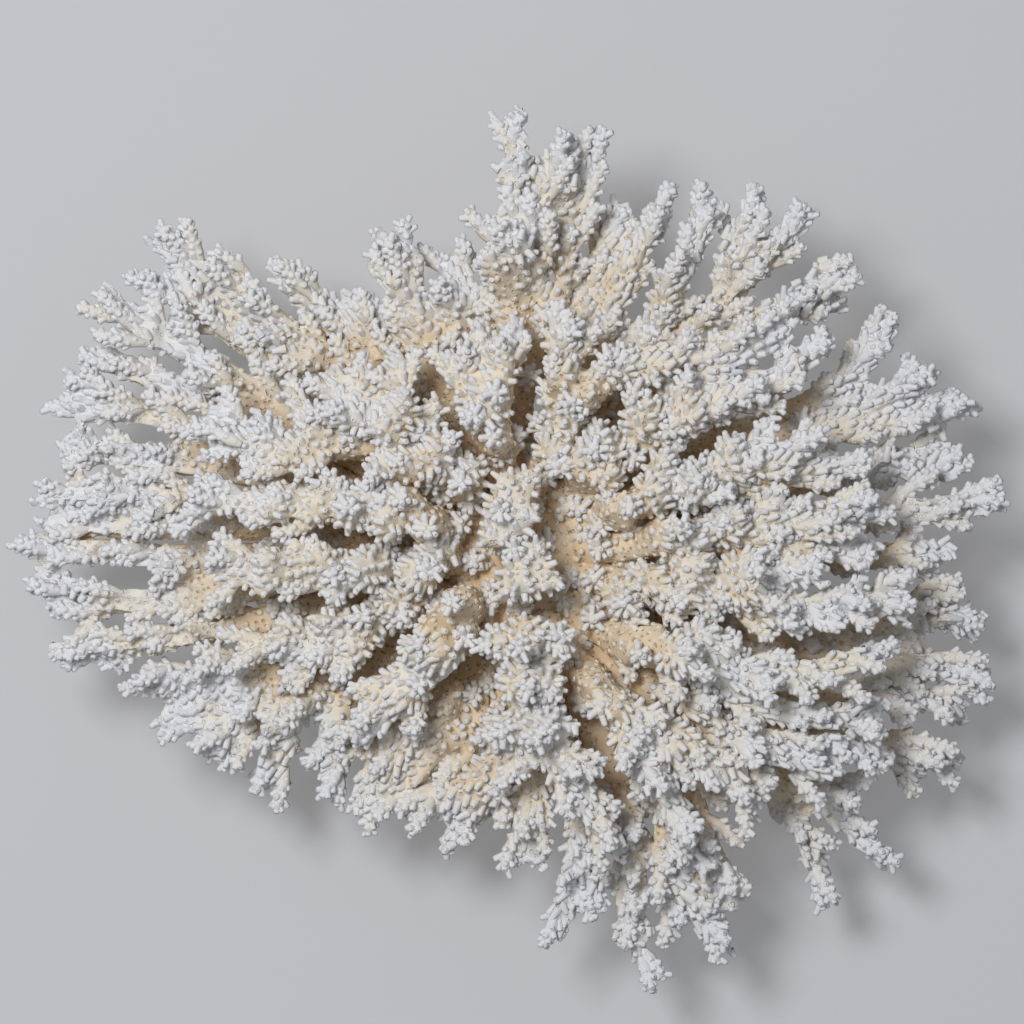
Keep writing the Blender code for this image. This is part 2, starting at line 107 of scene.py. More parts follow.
def unit(vectors: np.ndarray) -> np.ndarray:
    """Vectors scaled to length 1, row by row.

    Args:
        vectors: An array of rows.

    Returns:
        The same rows at unit length; a zero row stays zero.
    """
    length = np.linalg.norm(vectors, axis=-1, keepdims=True)
    return vectors / np.maximum(length, 1e-12)


def off_axis(places: np.ndarray) -> np.ndarray:
    """How far out from the colony's upright axis each place is."""
    return np.hypot(places[:, 0], places[:, 1])


@dataclass(frozen=True)
class Ramp:
    """A smooth rise from 0 at low to 1 at high, or a fall where high is the lower of the two."""

    low: float
    high: float

    def __call__(self, values: np.ndarray | float) -> np.ndarray:
        """How far up the ramp each value is, from 0 to 1."""
        t = np.clip((values - self.low) / (self.high - self.low), 0.0, 1.0)
        return t * t * (3.0 - 2.0 * t)


# ---------------------------------------------------------------------------
# Shader maths
# ---------------------------------------------------------------------------


class Value:
    """A number socket of a material, with Python's operators for its Math nodes."""

    def __init__(self, maker: "MaterialMaker", socket: bpy.types.NodeSocket) -> None:
        """Wraps an output socket of the maker's material."""
        self.maker = maker
        self.socket = socket

    def _math(self, operation: str, *values: "Value | float") -> "Value":
        """A Math node on this value and others."""
        node = self.maker.node("ShaderNodeMath", {"operation": operation}, dict(enumerate(values)))
        return Value(self.maker, node.outputs[0])

    def __add__(self, other: "Value | float") -> "Value":
        """self + other."""
        return self._math("ADD", self, other)

    def __radd__(self, other: float) -> "Value":
        """other + self."""
        return self._math("ADD", other, self)

    def __sub__(self, other: "Value | float") -> "Value":
        """self - other."""
        return self._math("SUBTRACT", self, other)

    def __rsub__(self, other: float) -> "Value":
        """other - self."""
        return self._math("SUBTRACT", other, self)

    def __mul__(self, other: "Value | float") -> "Value":
        """self * other."""
        return self._math("MULTIPLY", self, other)

    def __rmul__(self, other: float) -> "Value":
        """other * self."""
        return self._math("MULTIPLY", other, self)

    def rise(self, low: float, high: float) -> "Value":
        """A smooth rise from 0 at low to 1 at high.

        Args:
            low: Where the rise starts.
            high: Where it ends; it may be below low, for a fall.

        Returns:
            The mapped value.
        """
        flip = low > high
        node = self.maker.node("ShaderNodeMapRange", {"interpolation_type": "SMOOTHSTEP"},
                               {"Value": self, "From Min": min(low, high), "From Max": max(low, high),
                                "To Min": 1.0 if flip else 0.0, "To Max": 0.0 if flip else 1.0})
        return Value(self.maker, node.outputs[0])


class MaterialMaker:
    """Builds one procedural material, node by node."""

    def __init__(self, name: str) -> None:
        """Starts a material with its Principled shader and its Object coordinates.

        Args:
            name: The material's name.
        """
        self.material = bpy.data.materials.new(name)
        self.material.use_nodes = True
        self.tree = self.material.node_tree
        self.shader = self.tree.nodes["Principled BSDF"]
        self.place = self.node("ShaderNodeTexCoord", {}, {}).outputs["Object"]

    def node(self, kind: str, settings: dict, inputs: dict) -> bpy.types.Node:
        """Adds a node.

        Args:
            kind: The node's type.
            settings: Its properties, which are set first.
            inputs: Values or links for its sockets, by name or number.

        Returns:
            The new node.
        """
        node = self.tree.nodes.new(kind)
        for name, value in settings.items():
            setattr(node, name, value)
        for key, value in inputs.items():
            self.feed(node.inputs[key], value)
        return node

    def feed(self, socket: bpy.types.NodeSocket, value: object) -> None:
        """Links or sets one input socket.

        Args:
            socket: The input.
            value: A Value, an output socket, a number or a colour.
        """
        source = value.socket if isinstance(value, Value) else value
        if isinstance(source, bpy.types.NodeSocket):
            self.tree.links.new(source, socket)
        else:
            socket.default_value = source

    def attribute(self, name: str) -> Value:
        """The mesh's own number attribute of that name."""
        node = self.node("ShaderNodeAttribute", {"attribute_name": name}, {})
        return Value(self, node.outputs["Fac"])

    def noise(self, size: float) -> Value:
        """Noise from 0 to 1, with features of about that size and one finer layer."""
        inputs = {"Vector": self.place, "Scale": 1.0 / size, "Detail": 1.0}
        return Value(self, self.node("ShaderNodeTexNoise", {}, inputs).outputs[0])

    def cells(self, pitch: float) -> Value:
        """The distance to the nearest of points that lie about a pitch apart, in pitches.

        Args:
            pitch: The usual distance between points.

        Returns:
            The distance.
        """
        node = self.node("ShaderNodeTexVoronoi", {"feature": "F1"},
                         {"Vector": self.place, "Scale": 1.0 / pitch, "Randomness": 0.9})
        return Value(self, node.outputs["Distance"])

    def mix(self, share: object, low: object, high: object) -> bpy.types.NodeSocket:
        """A mix of two colours.

        Args:
            share: How much of the second one, from 0 to 1, as a Value or a socket.
            low: The first colour, or a colour socket.
            high: The second colour, or a colour socket.

        Returns:
            The mixed colour's socket.
        """
        node = self.node("ShaderNodeMix", {"data_type": "RGBA"}, {})
        self.feed(node.inputs[0], share)
        self.feed(node.inputs[6], low)
        self.feed(node.inputs[7], high)
        return node.outputs[2]

    def bump(self, height: Value, depth: float) -> bpy.types.NodeSocket:
        """A bumped normal.

        Args:
            height: The height, from 0 to 1.
            depth: What a height of 1 stands for.

        Returns:
            The normal's socket.
        """
        inputs = {"Height": height, "Distance": depth, "Strength": 1.0}
        return self.node("ShaderNodeBump", {}, inputs).outputs[0]


def seen_directly(tree: bpy.types.NodeTree) -> bpy.types.NodeSocket:
    """Tells the rays that see a surface directly from those that carry its light to others.

    Args:
        tree: The nodes of a material or a world.

    Returns:
        A socket that is 1 for camera, glossy and transmission rays, and else 0.
    """
    path = tree.nodes.new("ShaderNodeLightPath")
    seen = path.outputs["Is Camera Ray"]
    for name in ("Is Glossy Ray", "Is Transmission Ray"):
        total = tree.nodes.new("ShaderNodeMath")
        total.use_clamp = True
        tree.links.new(seen, total.inputs[0])
        tree.links.new(path.outputs[name], total.inputs[1])
        seen = total.outputs[0]
    return seen


@dataclass(frozen=True)
class SkeletonFinish:
    """Bare limestone: cool white at the growing tips, cream behind them, tan and pored on old shafts. Tan
    and rust also stand for painted shade where the light from above is blocked; the cups and pores are
    darkened with painted shade and rust, and the pale rings round the pores are partly a painted
    highlight.
    """

    name: str = "coral_skeleton"
    tip_white: tuple = (0.79, 0.80, 0.835, 1.0)
    warm_white: tuple = (0.805, 0.75, 0.655, 1.0)
    tan: tuple = (0.80, 0.625, 0.415, 1.0)
    # Rust, and painted shade where it goes on shaded skin and into the cups.
    rust_and_shade: tuple = (0.60, 0.37, 0.18, 1.0)
    # Painted shade in the pores, in a brown that also stands for stain.
    pore_shade_and_stain: tuple = (0.46, 0.24, 0.09, 1.0)
    roughness: float = 0.82
    fleck_size: float = 1.6 * MM
    pore_pitch: float = 2.1 * MM
    pit_depth: float = 0.5 * MM
    warm_ages: tuple = (0.0, 0.40)
    tan_ages: tuple = (0.32, 0.95)
    tan_on_tubes: float = 0.35
    rust_ages: tuple = (0.78, 1.0)
    rust_share: float = 0.28
    fleck_levels: tuple = (0.45, 0.8)
    fleck_share: float = 0.22
    dot_edge: tuple = (0.30, 0.20)
    dot_ages: tuple = (0.15, 0.7)
    dot_share: float = 0.65
    ring_outside: tuple = (0.48, 0.38)
    ring_inside: tuple = (0.27, 0.35)
    # Partly paler rim colour, partly a painted highlight on the raised pore rims.
    ring_paling_and_highlight: float = 0.45
    # Painted shade and rust in the corallite cups.
    cup_shade_share: float = 0.20
    old_cup_shade_share: float = 0.55

    def make(self) -> bpy.types.Material:
        """Builds the material.

        Returns:
            The material, which reads the mesh's age, bare and cup attributes; age carries painted shade
            as well as age, and cup marks painted shade and rust in the cups.
        """
        maker = MaterialMaker(self.name)
        age = maker.attribute("age")
        bare = maker.attribute("bare")
        cup = maker.attribute("cup")
        flecks = maker.noise(self.fleck_size)
        browned = self.tan_on_tubes + (1 - self.tan_on_tubes) * bare
        colour = maker.mix(age.rise(*self.warm_ages), self.tip_white, self.warm_white)
        # Tan and rust follow age, so they are partly painted shade where the light from above is blocked.
        colour = maker.mix(age.rise(*self.tan_ages) * browned, colour, self.tan)
        colour = maker.mix(age.rise(*self.rust_ages) * bare * self.rust_share, colour, self.rust_and_shade)
        colour = maker.mix(flecks.rise(*self.fleck_levels) * self.fleck_share, colour, self.warm_white)
        pores = maker.cells(self.pore_pitch)
        dots = pores.rise(*self.dot_edge) * bare
        rings = pores.rise(*self.ring_outside) * pores.rise(*self.ring_inside) * bare
        # The pale rings round the pores are partly paler rim colour and partly a painted highlight on the
        # raised rims.
        colour = maker.mix(rings * self.ring_paling_and_highlight, colour, self.warm_white)
        # The dark pore dots are painted shade in the pores, in a brown that also stands for stain.
        colour = maker.mix(dots * age.rise(*self.dot_ages) * self.dot_share, colour, self.pore_shade_and_stain)
        # Painted shade in the corallite cups, with rust that grows with age.
        colour = maker.mix(cup * (self.cup_shade_share + self.old_cup_shade_share * age), colour, self.rust_and_shade)
        maker.feed(maker.shader.inputs["Base Color"], colour)
        maker.shader.inputs["Roughness"].default_value = self.roughness
        maker.shader.inputs["Metallic"].default_value = 0.0
        pits = maker.bump((rings * 0.5 - dots) * 0.5 + 0.5, self.pit_depth)
        maker.feed(maker.shader.inputs["Normal"], pits)
        return maker.material


@dataclass(frozen=True)
class FloorFinish:
    """Plain matt board, pale grey, a little lifted where it is seen directly."""

    name: str = "pale_board"
    colour: tuple = (0.44, 0.445, 0.46, 1.0)
    lift: tuple = (0.16, 0.162, 0.167, 1.0)
    roughness: float = 0.9

    def make(self) -> bpy.types.Material:
        """Builds the material.

        Returns:
            The material, whose lift shows only to rays that see the board directly.
        """
        maker = MaterialMaker(self.name)
        maker.shader.inputs["Base Color"].default_value = self.colour
        maker.shader.inputs["Roughness"].default_value = self.roughness
        lifted = maker.mix(seen_directly(maker.tree), (0.0, 0.0, 0.0, 1.0), self.lift)
        maker.feed(maker.shader.inputs["Emission Color"], lifted)
        maker.shader.inputs["Emission Strength"].default_value = 1.0
        return maker.material


# ---------------------------------------------------------------------------
# The corallite, modelled once
# ---------------------------------------------------------------------------


@dataclass
class Corallite:
    """One small open tube, with a foot ring, a rounded lip and a cup, in units of its own radius."""

    sides: int = 7
    body: float = 2.0
    shoulder_rise: float = 0.55
    shoulder: float = 0.84
    lip_rise: float = 0.24
    mouth: float = 0.46
    cup_depth: float = 0.8
    mouth_shade_and_stain: float = 0.25
    points: np.ndarray = field(init=False)
    faces: list = field(init=False)
    at_lip: np.ndarray = field(init=False)
    cup: np.ndarray = field(init=False)

    def build(self) -> None:
        """Models the tube in edit mode, and keeps its points, faces and cup."""
        deselect_all()
        bpy.ops.mesh.primitive_cylinder_add(vertices=self.sides, radius=1.0, depth=self.body,
                                            end_fill_type="NGON", location=(0, 0, self.body / 2))
        obj = bpy.context.object
        bpy.ops.object.transform_apply(location=True)
        bpy.ops.object.mode_set(mode="EDIT")
        bpy.ops.mesh.select_mode(type="FACE")
        select_faces(obj, lambda face: face.normal.z < -0.5)
        bpy.ops.mesh.delete(type="ONLY_FACE")
        select_faces(obj, lambda face: face.normal.z > 0.5)
        if self.shoulder_rise:
            bpy.ops.mesh.extrude_region_move(TRANSFORM_OT_translate={"value": (0, 0, self.shoulder_rise)})
            bpy.ops.transform.resize(value=(self.shoulder, self.shoulder, 1.0), center_override=(0, 0, 0))
        bpy.ops.mesh.extrude_region_move(TRANSFORM_OT_translate={"value": (0, 0, self.lip_rise)})
        closing = self.mouth / self.shoulder
        bpy.ops.transform.resize(value=(closing, closing, 1.0), center_override=(0, 0, 0))
        bpy.ops.mesh.extrude_region_move(TRANSFORM_OT_translate={"value": (0, 0, -self.cup_depth)})
        bpy.ops.mesh.merge(type="CENTER")
        bpy.ops.object.mode_set(mode="OBJECT")
        mesh = obj.data
        points = np.array([vert.co for vert in mesh.vertices])
        # Edit mode leaves no fixed order, so the points and faces are put in one by their place.
        order = np.lexsort(np.round(points, 4).T)
        number = np.argsort(order)
        loops = [number[list(face.vertices)] for face in mesh.polygons]
        self.faces = sorted((np.roll(loop, -int(loop.argmin())) for loop in loops), key=tuple)
        points = points[order]
        self.at_lip = points[:, 2] > 0.01
        top = self.body + self.shoulder_rise + self.lip_rise
        points[:, 2] = np.where(self.at_lip, points[:, 2] - top, 0.0)
        self.points = points
        # The cup attribute marks painted shade, with rust, at the bottom of each cup and lightly at the
        # mouth ring.
        radius = np.hypot(points[:, 0], points[:, 1])
        near_mouth = radius < self.mouth * 1.05
        at_centre = radius < 0.1
        self.cup = np.where(at_centre, 1.0, np.where(near_mouth, self.mouth_shade_and_stain, 0.0))
        bpy.data.objects.remove(obj)


@dataclass
class Forms:
    """The two modelled corallites: a tall rounded tube, and the low ring of a sunken one."""

    tube: Corallite = field(default_factory=Corallite)
    ring: Corallite = field(default_factory=lambda: Corallite(
        sides=6, body=1.0, shoulder_rise=0.0, shoulder=1.0, lip_rise=0.12, mouth=0.48, cup_depth=0.5))

    def build(self) -> None:
        """Models both."""
        self.tube.build()
        self.ring.build()


def select_faces(obj: bpy.types.Object, wanted: Callable[[bmesh.types.BMFace], bool]) -> None:
    """Selects the faces that a test wants, in edit mode.

    Args:
        obj: The object in edit mode.
        wanted: A test of a face.
    """
    bpy.ops.mesh.select_all(action="DESELECT")
    shape = bmesh.from_edit_mesh(obj.data)
    for face in shape.faces:
        face.select_set(wanted(face))
    bmesh.update_edit_mesh(obj.data)


@dataclass
class Colony:
    """Many corallites: where each stands, how it points, its size, and how old it is with painted shade
    added.
    """

    tall: ClassVar[Ramp] = Ramp(1.6 * MM, 3.6 * MM)
    low_lip_age_and_foot_shade: ClassVar[float] = 0.62
    lip_age_and_foot_shade_drop: ClassVar[float] = 0.45
    wall_bare: ClassVar[float] = 0.5
    foot: np.ndarray = field(default_factory=lambda: np.empty((0, 3)))
    axis: np.ndarray = field(default_factory=lambda: np.empty((0, 3)))
    length: np.ndarray = field(default_factory=lambda: np.empty(0))
    radius: np.ndarray = field(default_factory=lambda: np.empty(0))
    age: np.ndarray = field(default_factory=lambda: np.empty(0))
    flare: np.ndarray = field(default_factory=lambda: np.empty(0))

    def add(self, foot: np.ndarray, axis: np.ndarray, length: np.ndarray | float,
            radius: np.ndarray | float, age: np.ndarray | float, flare: float = 1.45) -> None:
        """Adds corallites.

        Args:
            foot: Where each stands.
            axis: Which way each points.
            length: How long each is.
            radius: How thick each is.
            age: How old the skin at its foot is, from 0 to 1, with painted shade added where the light
                from above is blocked.
            flare: How much wider its foot is than its body.
        """
        count = len(foot)
        self.foot = np.concatenate([self.foot, foot])
        self.axis = np.concatenate([self.axis, unit(axis)])
        self.length = np.concatenate([self.length, np.broadcast_to(length, count)])
        self.radius = np.concatenate([self.radius, np.broadcast_to(radius, count)])
        self.age = np.concatenate([self.age, np.broadcast_to(age, count)])
        self.flare = np.concatenate([self.flare, np.full(count, flare)])

    def build(self, tube: Corallite, chance: np.random.Generator) -> "Patch":
        """Copies the modelled tube to every place.

        Args:
            tube: The modelled corallite.
            chance: The source of each tube's turn about itself.

        Returns:
            The tubes' points, faces and attributes.
        """
        count, per = len(self.foot), len(tube.points)
        level = np.abs(self.axis[:, 2:]) < NEAR_UPRIGHT
        helper = np.where(level, [[0.0, 0.0, 1.0]], [[1.0, 0.0, 0.0]])
        side = unit(np.cross(self.axis, helper))
        across = np.cross(self.axis, side)
        turn = chance.uniform(0, 2 * math.pi, (count, 1))
        side, across = (side * np.cos(turn) + across * np.sin(turn),
                        across * np.cos(turn) - side * np.sin(turn))
        x, y, z = tube.points.T
        radius = self.radius[:, None, None]
        rise = tube.at_lip[:, None] * self.length[:, None, None] + z[:, None] * radius
        wide = radius * np.where(tube.at_lip, 1.0, self.flare[:, None])[:, :, None]
        points = (self.foot[:, None] + side[:, None] * x[:, None] * wide
                  - across[:, None] * y[:, None] * wide + self.axis[:, None] * rise)
        starts = per * np.arange(count)
        faces = [starts[:, None] + face[None] for face in tube.faces]
        # Lips take a smaller share of age than feet: partly fresher growth at the lips, partly painted
        # warm shade at the feet between the tubes.
        lip_age_and_foot_shade = (self.low_lip_age_and_foot_shade - self.lip_age_and_foot_shade_drop * self.tall(self.length))[:, None]
        age = (self.age[:, None] * np.where(tube.at_lip, lip_age_and_foot_shade, 1.0)).ravel()
        bare = np.tile(np.where(tube.at_lip, 0.0, self.wall_bare), count)
        return Patch(points.reshape(-1, 3), faces, age, bare, np.tile(tube.cup, count))


@dataclass
class Patch:
    """A part of a mesh as arrays: points, blocks of faces, and the attributes of each point."""

    points: np.ndarray
    faces: list[np.ndarray]
    age: np.ndarray
    bare: np.ndarray
    cup: np.ndarray


def join(name: str, patches: Sequence[Patch]) -> bpy.types.Object:
    """Joins patches into one mesh object at the origin.

    Args:
        name: The object's name.
        patches: Its parts.

    Returns:
        The object, shaded smooth, with the attributes that the skeleton's finish reads.
    """
    blocks, base = [], 0
    for patch in patches:
        blocks += [block + base for block in patch.faces if len(block)]
        base += len(patch.points)
    corners = np.concatenate([block.ravel() for block in blocks]).astype(np.int32)
    sizes = np.concatenate([np.full(len(block), block.shape[1]) for block in blocks])
    starts = np.concatenate([[0], np.cumsum(sizes)[:-1]]).astype(np.int32)
    mesh = bpy.data.meshes.new(name)
    mesh.vertices.add(base)
    mesh.vertices.foreach_set("co", np.concatenate([patch.points for patch in patches]).ravel())
    mesh.loops.add(len(corners))
    mesh.loops.foreach_set("vertex_index", corners)
    mesh.polygons.add(len(sizes))
    mesh.polygons.foreach_set("loop_start", starts)
    mesh.update(calc_edges=True)
    for label in ("age", "bare", "cup"):
        values = np.concatenate([getattr(patch, label) for patch in patches])
        mesh.attributes.new(label, "FLOAT", "POINT").data.foreach_set("value", values.astype(np.float32))
    mesh.shade_smooth()
    obj = bpy.data.objects.new(name, mesh)
    bpy.context.scene.collection.objects.link(obj)
    return obj


# ---------------------------------------------------------------------------
# The skin of a limb
# ---------------------------------------------------------------------------


@dataclass
class Skin:
    """The surface of a limb: its mesh as arrays, and what is known at each point."""

    ray_start: ClassVar[float] = 0.05 * MM
    thickest: ClassVar[float] = 40 * MM
    thinning_rounds: ClassVar[int] = 3
    crushed: ClassVar[float] = 0.35
    sky: ClassVar[tuple] = ((0, 0, 1), (0.6, 0, 0.8), (-0.6, 0, 0.8), (0, 0.6, 0.8), (0, -0.6, 0.8))
    sky_reach: ClassVar[float] = 90 * MM
    sky_clearance: ClassVar[float] = 1.2 * MM
    sky_lift: ClassVar[float] = 0.8 * MM
    root_height: ClassVar[float] = 45 * MM
    root_height_weight: ClassVar[float] = 0.3
    lowest_tip: ClassVar[float] = 25 * MM
    tipless_run: ClassVar[float] = 60 * MM
    points: np.ndarray
    normals: np.ndarray
    faces: np.ndarray
    edges: np.ndarray
    half: np.ndarray = field(init=False)
    lit: np.ndarray = field(init=False)
    tip_run: np.ndarray = field(init=False)
    tips: np.ndarray = field(init=False)
    tipward: np.ndarray = field(init=False)

    @classmethod
    def of(cls, obj: bpy.types.Object) -> "Skin":
        """An object's mesh as arrays.

        Args:
            obj: An object whose faces all have four corners.

        Returns:
            The skin with its points, normals, faces and edges.
        """
        mesh = obj.data
        points = np.empty(len(mesh.vertices) * 3)
        mesh.vertices.foreach_get("co", points)
        normals = np.empty(len(mesh.vertices) * 3)
        mesh.vertices.foreach_get("normal", normals)
        corners = np.empty(len(mesh.loops), np.int32)
        mesh.loops.foreach_get("vertex_index", corners)
        edges = np.empty(len(mesh.edges) * 2, np.int32)
        mesh.edges.foreach_get("vertices", edges)
        return cls(points.reshape(-1, 3), normals.reshape(-1, 3), corners.reshape(-1, 4),
                   edges.reshape(-1, 2))

    def neighbours(self) -> list[list[tuple[int, float]]]:
        """Lists what is next to each point.

        Returns:
            For each point its neighbours, with the length of the edge to each.
        """
        steps = self.points[self.edges[:, 0]] - self.points[self.edges[:, 1]]
        found: list[list[tuple[int, float]]] = [[] for _ in self.points]
        for (a, b), length in zip(self.edges.tolist(), np.linalg.norm(steps, axis=1).tolist()):
            found[a].append((b, length))
            found[b].append((a, length))
        return found

    @staticmethod
    def walk(neighbours: list, starts: Sequence[int]) -> np.ndarray:
        """How far each point is from the nearest start, along the surface.

        Args:
            neighbours: What neighbours() gives.
            starts: The points to start from.

        Returns:
            The distances.
        """
        far = [math.inf] * len(neighbours)
        queue = [(0.0, start) for start in starts]
        for start in starts:
            far[start] = 0.0
        while queue:
            run, here = heapq.heappop(queue)
            if run > far[here]:
                continue
            for other, length in neighbours[here]:
                reach = run + length
                if reach < far[other]:
                    far[other] = reach
                    heapq.heappush(queue, (reach, other))
        values = np.array(far)
        return np.where(np.isfinite(values), values, 0.0)

    def averaged(self, values: np.ndarray, rounds: int) -> np.ndarray:
        """Values at the points, evened out with their neighbours'.

        Args:
            values: One row for each point.
            rounds: How many times to average.

        Returns:
            The evened values.
        """
        a, b = self.edges.T
        count = np.maximum(np.bincount(self.edges.ravel(), minlength=len(self.points)), 1.0)
        flat = values.reshape(len(values), -1)
        for _ in range(rounds):
            flat = 0.5 * flat + 0.5 * self.gathered(a, b, flat) / count[:, None]
        return flat.reshape(values.shape)

    @staticmethod
    def gathered(a: np.ndarray, b: np.ndarray, rows: np.ndarray) -> np.ndarray:
        """The sum of each point's neighbours' rows.

        Args:
            a: The first ends of the edges.
            b: Their second ends.
            rows: One row for each point.

        Returns:
            One row for each point.
        """
        return np.stack([np.bincount(a, column[b], len(rows)) + np.bincount(b, column[a], len(rows))
                         for column in rows.T], axis=1)

    def measure(self) -> None:
        """Finds half of the limb's thickness at each point."""
        tree = BVHTree.FromPolygons(self.points.tolist(), self.faces.tolist())
        half = np.zeros(len(self.points))
        starts = (self.points - self.normals * self.ray_start).tolist()
        ways = (-self.normals).tolist()
        for i, (start, way) in enumerate(zip(starts, ways)):
            far = tree.ray_cast(start, way, self.thickest)[3]
            half[i] = 0.5 * (far if far is not None else self.thickest)
        a, b = self.edges.T
        for _ in range(self.thinning_rounds):
            least = half.copy()
            np.minimum.at(least, a, half[b])
            np.minimum.at(least, b, half[a])
            half = least
        self.half = self.averaged(half, 6)

    def folded(self, moved: np.ndarray) -> np.ndarray:
        """Finds the points of faces that a move turns over or crushes.

        Args:
            moved: Where the points would be.

        Returns:
            Whether each point is on such a face.
        """
        before, after = self.points[self.faces], moved[self.faces]
        was = np.cross(before[:, 2] - before[:, 0], before[:, 3] - before[:, 1])
        now = np.cross(after[:, 2] - after[:, 0], after[:, 3] - after[:, 1])
        marked = np.zeros(len(self.points), bool)
        bad = (was * now).sum(axis=1) < self.crushed * (was ** 2).sum(axis=1)
        marked[self.faces[bad].ravel()] = True
        return marked

    def look_up(self, canopy: BVHTree) -> None:
        """Finds how much of the light from above reaches each point past the other limbs.

        Args:
            canopy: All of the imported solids.
        """
        seen = np.zeros(len(self.points))
        starts = self.points + self.normals * self.sky_clearance + np.array([0, 0, self.sky_lift])
        starts = starts.tolist()
        for way in self.sky:
            seen += [canopy.ray_cast(start, way, self.sky_reach)[3] is None for start in starts]
        self.lit = self.averaged(seen / len(self.sky), 8)

    def find_tips(self, spread: float) -> None:
        """Finds the fingertips and which way is towards them.

        Args:
            spread: The least distance between two tips.
        """
        near = self.neighbours()
        off_height = np.abs(self.points[:, 2] - self.root_height)
        root = int(np.argmin(off_axis(self.points) + self.root_height_weight * off_height))
        run = self.averaged(self.walk(near, [root]), 2)
        a, b = self.edges.T
        step = self.points[b] - self.points[a]
        square = np.maximum((step ** 2).sum(axis=1), 1e-12)
        slope = step * ((run[b] - run[a]) / square)[:, None]
        total = np.stack([np.bincount(a, part, len(run)) + np.bincount(b, part, len(run))
                          for part in slope.T], axis=1)
        self.tipward = unit(self.averaged(unit(total), 6))
        below = np.zeros(len(run), bool)
        below[a[run[b] > run[a]]] = True
        below[b[run[a] > run[b]]] = True
        below |= self.points[:, 2] < self.lowest_tip
        kept: list[int] = []
        for peak in sorted(np.flatnonzero(~below).tolist(), key=lambda i: -run[i]):
            gaps = np.linalg.norm(self.points[kept] - self.points[peak], axis=1) if kept else []
            if len(kept) == 0 or gaps.min() > spread:
                kept.append(peak)
        self.tips = np.array(kept, int)
        self.tip_run = self.walk(near, kept) if kept else np.full(len(run), self.tipless_run)


def keep_largest_island(obj: bpy.types.Object) -> None:
    """Removes every loose island of an object's mesh but the largest.

    Args:
        obj: The object.
    """
    shape = bmesh.new()
    shape.from_mesh(obj.data)
    left = set(shape.verts)
    islands = []
    while left:
        island, edge = set(), [left.pop()]
        while edge:
            vert = edge.pop()
            island.add(vert)
            for link in vert.link_edges:
                other = link.other_vert(vert)
                if other in left:
                    left.discard(other)
                    edge.append(other)
        islands.append(island)
    islands.sort(key=len)
    for island in islands[:-1]:
        bmesh.ops.delete(shape, geom=list(island), context="VERTS")
    shape.to_mesh(obj.data)
    shape.free()


def spaced(places: np.ndarray, pitch: np.ndarray, order: Sequence[int]) -> np.ndarray:
    """Picks places that aren't nearer to each other than their pitch.

    Args:
        places: The tried places.
        pitch: The least distance for each.
        order: Which places are tried, and in what order.

    Returns:
        The picked places' numbers.
    """
    cell = float(pitch.max())
    keys = [tuple(key) for key in np.floor(places / cell).astype(int).tolist()]
    near = [(i, j, k) for i in (-1, 0, 1) for j in (-1, 0, 1) for k in (-1, 0, 1)]
    rows = places.tolist()
    limits = (pitch ** 2).tolist()
    taken: dict[tuple[int, int, int], list[int]] = {}
    chosen = []
    for i in order:
        kx, ky, kz = keys[i]
        x, y, z = rows[i]
        others = [rows[j] for dx, dy, dz in near for j in taken.get((kx + dx, ky + dy, kz + dz), ())]
        if all((x - p) ** 2 + (y - q) ** 2 + (z - r) ** 2 >= limits[i] for p, q, r in others):
            taken.setdefault(keys[i], []).append(i)
            chosen.append(i)
    return np.array(chosen, int)


# ---------------------------------------------------------------------------
# Branchlets
# ---------------------------------------------------------------------------


